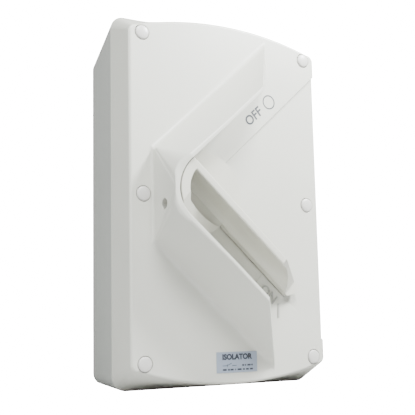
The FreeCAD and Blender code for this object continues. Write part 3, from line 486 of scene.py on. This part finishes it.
def well(x, z, level):
    """Screw hole, cap well and its rounded mouth."""
    profile = [(SCREW_HOLE, -RISE - 2), (SCREW_HOLE, -WELL_DEPTH), (WELL, -WELL_DEPTH),
               (WELL, level - WELL_MOUTH)]
    profile += [(WELL + WELL_MOUTH * (1 - c), level - WELL_MOUTH * (1 - s))
                for c, s in arc_steps((25, 50, 75))]
    profile += [(WELL + 0.4, level + 0.05), (WELL + 0.4, level + 1.0)]
    return turned(profile, on_face(x, z), count=48)


cover = solid("cover_shell", cover_block(0.0, 0.0))
combine(cover, sector_tool(), "DIFFERENCE")
combine(cover, cover_block(-SECTOR_DEPTH, 0.02), "UNION")
combine(cover, soft_ends(guard(), 0.9), "UNION")

# The hollow behind the face narrows as the sides do, and its tool reaches out past the joint.
hollow_rim = panel(HALF_WIDTH - WALL, HALF_HEIGHT - WALL, RIM_CORNER - WALL, 0.0)
hollow_top = panel(FACE_HALF_WIDTH - WALL, FACE_HALF_HEIGHT - WALL, FACE_CORNER, FACE_CROWN)
past_joint = 5.5
stretch = past_joint / (RISE - SECTOR_DEPTH - WALL)
open_end = [spot(*(a + (a - b) * stretch), -RISE - past_joint) for a, b in zip(hollow_rim, hollow_top)]
closed_end = [spot(*b, -SECTOR_DEPTH - WALL) for b in hollow_top]
combine(cover, skin([open_end, closed_end]), "DIFFERENCE")

tubes = [turned([(TUBE, -RISE), (TUBE, -WALL)], on_face(x, z), count=48) for x, z in CAP_SPOTS]
tubes.append(turned([(COLLAR, COLLAR_BACK), (COLLAR, -WALL)], on_face(HUB_X, 0)))
combine(cover, together(*tubes), "UNION")

cuts = [well(x, z, cap_level(x, z)) for x, z in CAP_SPOTS]
recess_floor = -SECTOR_DEPTH - 0.02
cuts.append(turned([(SPIGOT_HOLE, -RISE - 2), (SPIGOT_HOLE, recess_floor), (DRUM_RECESS, recess_floor),
                    (DRUM_RECESS, 0.6)], on_face(HUB_X, 0), count=96))
# The padlock hole runs in from the guard's point; its profile rows are (radius, distance left of the middle).
cuts.append(turned([(3.6, 52.0), (3.6, 60.0), (3.75, 60.25), (4.1, 60.42), (4.1, 68.0)],
                   lambda a, b, level: spot(-level, LOCK_Z + a, LOCK_HEIGHT + b), count=32))
combine(cover, together(*cuts), "DIFFERENCE")
finish(cover, "enclosure", CASE, ["front_cover"])

# ---------------------------------------------------------------- screw caps
CAP_RADIUS = 4.95
CAP_SHOULDER = 0.2               # the edge's curve starts this far below the face
CURVE_CENTRE, CURVE_REACH, CURVE_RISE = 4.6, 0.35, 0.6
CAP_CREST = 1.36

caps = []
for x, z in CAP_SPOTS:
    level = cap_level(x, z)
    profile = [(CAP_RADIUS, -4.0), (CAP_RADIUS, level - CAP_SHOULDER)]
    profile += [(CURVE_CENTRE + CURVE_REACH * c, level - CAP_SHOULDER + CURVE_RISE * s)
                for c, s in arc_steps((12, 24, 36, 48, 60))]
    edge, rise = profile[-1]
    crest = level + CAP_CREST
    profile += [(edge * c, rise + (crest - rise) * s) for c, s in arc_steps((12, 24, 36, 48, 60, 72, 82, 88))]
    caps.append(turned(profile, on_face(x, z), count=40))
finish(solid("screw_cap_set", together(*caps)), "enclosure", CAP, ["screw_caps"], sharp=50)


# ---------------------------------------------------------------- handle
def grip(u, v, height):
    """Point in the handle's own frame: u along it, v across, turned to ON."""
    place = Vector((HUB_X, 0)) + DOWN_ARM * u + Vector((math.sin(SLANT), math.cos(SLANT))) * v
    return spot(place.x, place.y, height)


DRUM, DRUM_EDGE = 26.2, 0.5
TOP = 31.6
CLEAR = 0.02                     # keeps faces of two shapes out of one plane
DRUM_TOP = TOP - CLEAR
FIN_LOW, FIN_HIGH = -0.8, 3.9
EDGE = 0.9
SPIGOT = 14.0
CLIP_GROOVE, SEAL_GROOVE = 12.8, 12.2
SOCKET_HALF = 4.1


def swept(section, start, end):
    """Prism along the handle from a closed (height, across) path."""
    return skin([[grip(u, v, h) for h, v in section] for u in (start, end)])


def flared(outline, levels):
    """Pocket tool with a growing mouth: levels are (growth, height)."""
    normals = outward(outline)
    return skin([[grip(*(p + n * grow), height) for p, n in zip(outline, normals)]
                 for grow, height in levels])


def side_cut(outline, near, far):
    """Prism across the handle from a closed (along, height) path."""
    return skin([[grip(u, v, h) for u, h in outline] for v in (near, far)])


# Drum and spigot, with the grooves of the clip and the seal.
drum_profile = [(SPIGOT, -12.2), (SPIGOT, -11.9), (CLIP_GROOVE, -11.8), (CLIP_GROOVE, -10.5), (SPIGOT, -10.4),
                (SPIGOT, -6.9), (SEAL_GROOVE, -6.85), (SEAL_GROOVE, -4.95), (SPIGOT, -4.9), (SPIGOT, -1.4),
                (DRUM - 0.4, -1.4), (DRUM, -1.0), (DRUM, DRUM_TOP - DRUM_EDGE)]
drum_profile += [(DRUM - DRUM_EDGE + DRUM_EDGE * c, DRUM_TOP - DRUM_EDGE + DRUM_EDGE * s)
                 for c, s in arc_steps((15, 30, 45, 60, 75, 90))]
handle = solid("handle_grip", turned(drum_profile, grip, count=120))

# Beyond the fin the drum is cut down to a step.
step, step_corner = 18.7, 0.6
fin_side = FIN_HIGH - CLEAR
step_section = [(step, 60.0), (step, FIN_HIGH + step_corner)]
step_section += [(step + step_corner * (1 - c), fin_side + step_corner * (1 - s))
                 for c, s in arc_steps((30, 60, 90))]
step_section += [(TOP - EDGE + EDGE * s, fin_side - EDGE + EDGE * c)
                 for c, s in arc_steps((0, 15, 30, 45, 60, 75))]
step_section += [(TOP + CLEAR, FIN_HIGH - EDGE - 0.1), (TOP + 4, FIN_HIGH - EDGE - 0.1), (TOP + 4, 60.0)]
combine(handle, swept(step_section, -60, 60), "DIFFERENCE")

# Thumb scoop inside the drum's edge, with a rounded mouth.
scoop_ring = DRUM - 6.6
scoop_side = FIN_LOW + CLEAR
scoop_start = (-math.sqrt(scoop_ring ** 2 - scoop_side ** 2), scoop_side)
scoop_middle = tuple(scoop_ring * part for part in arc_steps([215])[0])
scoop_turn = (-8.5, -math.sqrt(scoop_ring ** 2 - 8.5 ** 2))
outline = arc_through(scoop_start, scoop_middle, scoop_turn, 14)
outline += arc_through(scoop_turn, (12.0, -11.8), (30.0, scoop_side), 20)[1:]
mouth = [(0.0, 6.0), (0.0, TOP - EDGE)]
mouth += [(EDGE * (1 - c), DRUM_TOP - EDGE * (1 - s)) for c, s in arc_steps((20, 40, 60, 75))]
mouth += [(EDGE, TOP + 0.05), (EDGE, TOP + 3)]
combine(handle, flared(outline, mouth), "DIFFERENCE")

# The drum slopes down beside the fin, towards the arm.
slope_start, slope_floor = -13.0, 2.8
slope = [(slope_start, TOP), (31.0, slope_floor), (60.0, slope_floor), (60.0, TOP + 4),
         (slope_start, TOP + 4)]
combine(handle, side_cut(slope, -60.0, scoop_side), "DIFFERENCE")

# Fin and arm in one length: finger groove on one side, foot on the other.
groove_edge = 1.2
foot, foot_low, foot_high = 11.0, 0.8, 4.8
groove = arc_through((8.5, FIN_LOW + 2.8), (0.6 * TOP, FIN_HIGH - 0.3), (TOP - groove_edge, FIN_LOW), 14)
section = [Vector((foot_low, FIN_LOW)), Vector((5.8, FIN_LOW))] + groove
section += [Vector((TOP - groove_edge + groove_edge * s, FIN_LOW + groove_edge * (1 - c)))
            for c, s in arc_steps((20, 40, 60, 80))]
# The end points of these two paths only set directions, so the slices leave them out.
# The point (12.0, 9.0926) lies on the sloping side from the fin down to the foot.
section += rounded([(TOP, FIN_HIGH - 2, 0), (TOP, FIN_HIGH, EDGE), (foot_high, foot, 0)], steps=6)[:8]
section += rounded([(12.0, 9.0926, 0), (foot_high, foot, 0.8), (foot_low, foot, 0.4), (foot_low, 6.0, 0)],
                   steps=4)[1:11]
combine(handle, swept(section, -23.5, 103.0), "UNION")

# The groove runs on into the drum.
channel = [Vector((TOP - 1.25, FIN_LOW - 0.5)), Vector((5.9, FIN_LOW - 0.5)), Vector((5.9, FIN_LOW - CLEAR))]
channel += [p + Vector((0, -CLEAR)) for p in groove]
combine(handle, swept(channel, -17.0, 27.2), "DIFFERENCE")

# Sloping nose, then the rounded tip.
nose_start = 68.5
nose = [(nose_start - 3 * 0.8, TOP + 3 * 0.78), (nose_start, TOP), (95.4, 5.4), (96.3, 4.85), (97.4, 4.8),
        (120.0, 4.8), (120.0, TOP + 5)]
combine(handle, side_cut(nose, -20.0, 30.0), "DIFFERENCE")
tip = arc_through((97.0, FIN_LOW - 1), (101.6, 4.62), (103.0, 8.8), 10)
tip += arc_through((103.0, 8.8), (102.2, 10.9), (100.0, 12.0), 6)[1:]
tip += [Vector((115.0, 12.0)), Vector((115.0, FIN_LOW - 1))]
combine(handle, skin([[grip(p.x, p.y, h) for p in tip] for h in (-3.0, 12.0)]), "DIFFERENCE")

# Square socket for the shaft.
corners = [(sx * SOCKET_HALF, sz * SOCKET_HALF) for sx, sz in ((1, 1), (-1, 1), (-1, -1), (1, -1))]
combine(handle, skin([[spot(HUB_X + x, z, h) for x, z in corners] for h in (-14.0, -0.2)]), "DIFFERENCE")
finish(handle, "handle_body", HANDLE, ["handle"])


# ---------------------------------------------------------------- marks
def lettering(name, text, size, to_space, thickness, weight=0.0):
    """Plain letters as a thin raised piece; to_space takes x, y and height in millimetres."""
    curve = bpy.data.curves.new(name, "FONT")
    curve.body = text
    curve.size = size
    curve.align_x = "CENTER"
    curve.align_y = "CENTER"
    curve.extrude = thickness / 2
    curve.offset = weight
    curve.resolution_u = 4
    obj = in_scene(name, curve)
    mesh = evaluated_mesh(obj)
    bpy.data.objects.remove(obj)
    for vertex in mesh.vertices:
        vertex.co = to_space(vertex.co.x, vertex.co.y, vertex.co.z + thickness / 2)
    return in_scene(name, mesh)


def band(arm, out, along, across, base, tilt=0.0):
    """Flat patch beside a guard arm: x runs with the arm, y away from the hub line."""
    middle = Vector((HUB_X, 0)) + arm * along + out * across
    c, s = math.cos(tilt), math.sin(tilt)

    def to_space(x, y, height):
        place = middle + arm * (c * x - s * y) + out * (s * x + c * y)
        return spot(place.x, place.y, base + height)
    return to_space


def ring_mark(outer, inner, to_space, thickness, count=48):
    """Flat ring as a thin raised shape."""
    profile = [(outer, 0.0), (outer, thickness), (inner, thickness), (inner, 0.0)]
    points = [to_space(r * c, r * s, h) for c, s in circle(count) for r, h in profile]
    sides = len(profile)
    faces = []
    for k in range(count):
        here, after = k * sides, (k + 1) % count * sides
        faces += [(here + i, here + (i + 1) % sides, after + (i + 1) % sides, after + i)
                  for i in range(sides)]
    return points, faces


def slab(x0, x1, y0, y1, to_space, thickness):
    """Thin raised block over a rectangle."""
    corners = ((x0, y0), (x1, y0), (x1, y1), (x0, y1))
    return skin([[to_space(x, y, h) for x, y in corners] for h in (0, thickness)])


def mark(obj, mat):
    """Finishes a mark, which lies on the enclosure."""
    finish(obj, "enclosure", mat, weighted=False)


INK = 0.06
TILT = -0.01                     # turn of the marks against the guard's arms
mark(lettering("mark_off", "OFF", 9.6, band(UP_ARM, UP_OUT, 79.5, 11.0, TILT), INK, weight=0.2),
     PRINT)
mark(solid("mark_off_ring", ring_mark(5.3, 4.4, band(UP_ARM, UP_OUT, 97.6, 11.0, TILT), INK)),
     PRINT)

on_band = band(DOWN_ARM, DOWN_OUT, 88.0, 8.6, TILT)


def on_letters(x, y, height):
    """On the lower band, away from the hub line is downwards, so the letters are turned over."""
    return on_band(x, -y, height)


# The raised ON letters and bar carry the darker grey: painted shade of their relief.
mark(lettering("mark_on", "ON", 9.5, on_letters, 0.5, weight=0.1), RELIEF_SHADE)
mark(solid("mark_on_rib", slab(-0.3, 0.3, -7.0, 9.0, band(DOWN_ARM, DOWN_OUT, 75.0, 10.0, TILT), 0.45)),
     CASE)
upright = band(DOWN_ARM, DOWN_OUT, 101.6, 11.7, TILT, -SLANT)
mark(solid("mark_on_bar", slab(-0.7, 0.7, -5.0, 5.0, upright, 0.4)), RELIEF_SHADE)

LABEL_X, LABEL_Z = 1.75, -111.1
LABEL_TOP = 0.29
LABEL_INK = 0.03
title_place = on_face(LABEL_X, LABEL_Z + 3.4, LABEL_TOP)
mark(lettering("label_title", "ISOLATOR", 5.0, title_place, LABEL_INK, weight=0.26), PRINT)

# Switch symbol, then two lines of short strokes as (left end, width).
SYMBOL_LINE, LOWER_LINE = -2.2, -4.9
symbol = on_face(LABEL_X, LABEL_Z + SYMBOL_LINE, LABEL_TOP)
wire, post, stroke = 0.18, 0.9, 0.55     # half heights
strokes = [slab(-11.5, -8.0, -wire, wire, symbol, LABEL_INK),
           slab(-4.0, -0.5, -wire, wire, symbol, LABEL_INK),
           slab(-8.0, -7.7, -post, post, symbol, LABEL_INK)]
lever = [(-8.0, -0.15), (-4.4, 1.35), (-4.5, 1.7), (-8.1, 0.2)]
strokes.append(skin([[symbol(a, b, h) for a, b in lever] for h in (0, LABEL_INK)]))
LINES = {SYMBOL_LINE: [(4.0, 1.6), (6.2, 1.0), (8.2, 2.6), (11.4, 1.2)],
         LOWER_LINE: [(-11.5, 3.0), (-7.4, 1.4), (-5.4, 2.4), (-1.8, 0.8), (0.2, 3.2), (4.6, 1.4), (7.0, 2.2),
                      (10.2, 2.4)]}
for height, groups in LINES.items():
    line_place = on_face(LABEL_X, LABEL_Z + height, LABEL_TOP)
    strokes += [slab(left, left + width, -stroke, stroke, line_place, LABEL_INK) for left, width in groups]
mark(solid("label_print", together(*strokes)), PRINT)


# ---------------------------------------------------------------- softened CAD node
def soften(obj, width):
    """Moulded edges: a small radius on each sharp edge of a CAD node."""
    weld = obj.modifiers.new("Weld", "WELD")
    weld.merge_threshold = 1e-6
    flat = obj.modifiers.new("Planar", "DECIMATE")
    flat.decimate_type = "DISSOLVE"
    flat.angle_limit = math.radians(0.5)
    edge = obj.modifiers.new("Edges", "BEVEL")
    edge.width = width
    edge.segments = 3
    edge.limit_method = "ANGLE"
    edge.angle_limit = math.radians(28.0)
    edge.use_clamp_overlap = True
    even = obj.modifiers.new("Flat faces", "WEIGHTED_NORMAL")
    even.weight = FACE_WEIGHT
    for face in obj.data.polygons:
        face.use_smooth = True


soften(nodes["rear_base"], 1.2 * MM)


# ---------------------------------------------------------------- floor, light, camera
FLOOR_BOUNCE = 0.04              # light that the floor gives to the object
BACKDROP = 24.0                  # white that only the camera sees
AMBIENT = 0.03


def plane(name, size, height):
    """Level square, in metres."""
    mesh = bpy.data.meshes.new(name)
    half = size / 2
    corners = [(-half, -half, height), (half, -half, height), (half, half, height), (-half, half, height)]
    mesh.from_pydata(corners, [], [(0, 1, 2, 3)])
    return in_scene(name, mesh)


floor = plane("floor", 12.0, cad_box[0].z)
paint(floor, material("floor_paint", (0.55, 0.55, 0.55), roughness=0.9, specular=0.1, mottle=0.005,
                      grain=0.0))
floor_tree = floor.data.materials[0].node_tree
floor_shader = floor_tree.nodes["Principled BSDF"]
seen = floor_tree.nodes.new("ShaderNodeLightPath")
glow = floor_tree.nodes.new("ShaderNodeMapRange")
glow.inputs["To Min"].default_value = FLOOR_BOUNCE
glow.inputs["To Max"].default_value = BACKDROP
floor_tree.links.new(seen.outputs["Is Camera Ray"], glow.inputs["Value"])
floor_shader.inputs["Emission Color"].default_value = (1, 1, 1, 1)
floor_tree.links.new(glow.outputs["Result"], floor_shader.inputs["Emission Strength"])
floor.visible_glossy = False


def area_light(name, position, target, size, power, colour):
    """Round soft light aimed at a point."""
    data = bpy.data.lights.new(name, "AREA")
    data.shape = "DISK"
    data.size = size
    data.energy = power
    data.color = colour
    lamp = in_scene(name, data)
    lamp.location = position
    lamp.rotation_mode = "QUATERNION"
    lamp.rotation_quaternion = (Vector(target) - Vector(position)).to_track_quat("-Z", "Y")


area_light("key", (0.28, -0.36, 0.38), (0.05, -0.08, 0.04), 0.14, 12.5, (0.95, 0.97, 1.0))
area_light("top", (-0.10, -0.62, 0.60), (0, -0.08, -0.02), 0.30, 14.5, (0.95, 0.97, 1.0))
area_light("fill", (-0.82, -0.30, 0.52), (0, -0.06, 0), 0.40, 12.0, (0.945, 0.97, 1.0))

world = bpy.data.worlds.new("studio")
bpy.context.scene.world = world
world.use_nodes = True
world_tree = world.node_tree
ambient = world_tree.nodes["Background"]
ambient.inputs["Color"].default_value = (0.96, 0.98, 1.0, 1)
ambient.inputs["Strength"].default_value = AMBIENT
sweep = world_tree.nodes.new("ShaderNodeBackground")
sweep.inputs["Strength"].default_value = BACKDROP
rays = world_tree.nodes.new("ShaderNodeLightPath")
blend = world_tree.nodes.new("ShaderNodeMixShader")
world_tree.links.new(rays.outputs["Is Camera Ray"], blend.inputs["Fac"])
world_tree.links.new(ambient.outputs["Background"], blend.inputs[1])
world_tree.links.new(sweep.outputs["Background"], blend.inputs[2])
world_tree.links.new(blend.outputs["Shader"], world_tree.nodes["World Output"].inputs["Surface"])

AIM = Vector((-0.0189, -0.082, -0.0066))
AZIMUTH, ELEVATION, ROLL, DISTANCE = (math.radians(30.77), math.radians(-8.13), math.radians(-1.19), 0.562)
towards_camera = Vector((-math.sin(AZIMUTH) * math.cos(ELEVATION), -math.cos(AZIMUTH) * math.cos(ELEVATION),
                         math.sin(ELEVATION)))
camera = in_scene("camera", bpy.data.cameras.new("camera"))
camera.data.sensor_width = 36.0
camera.data.lens = 71.46
camera.data.clip_start = 0.01
camera.location = AIM + towards_camera * DISTANCE
camera.rotation_mode = "QUATERNION"
camera.rotation_quaternion = (-towards_camera).to_track_quat("-Z", "Y") @ Quaternion((0, 0, 1), ROLL)
bpy.context.scene.camera = camera
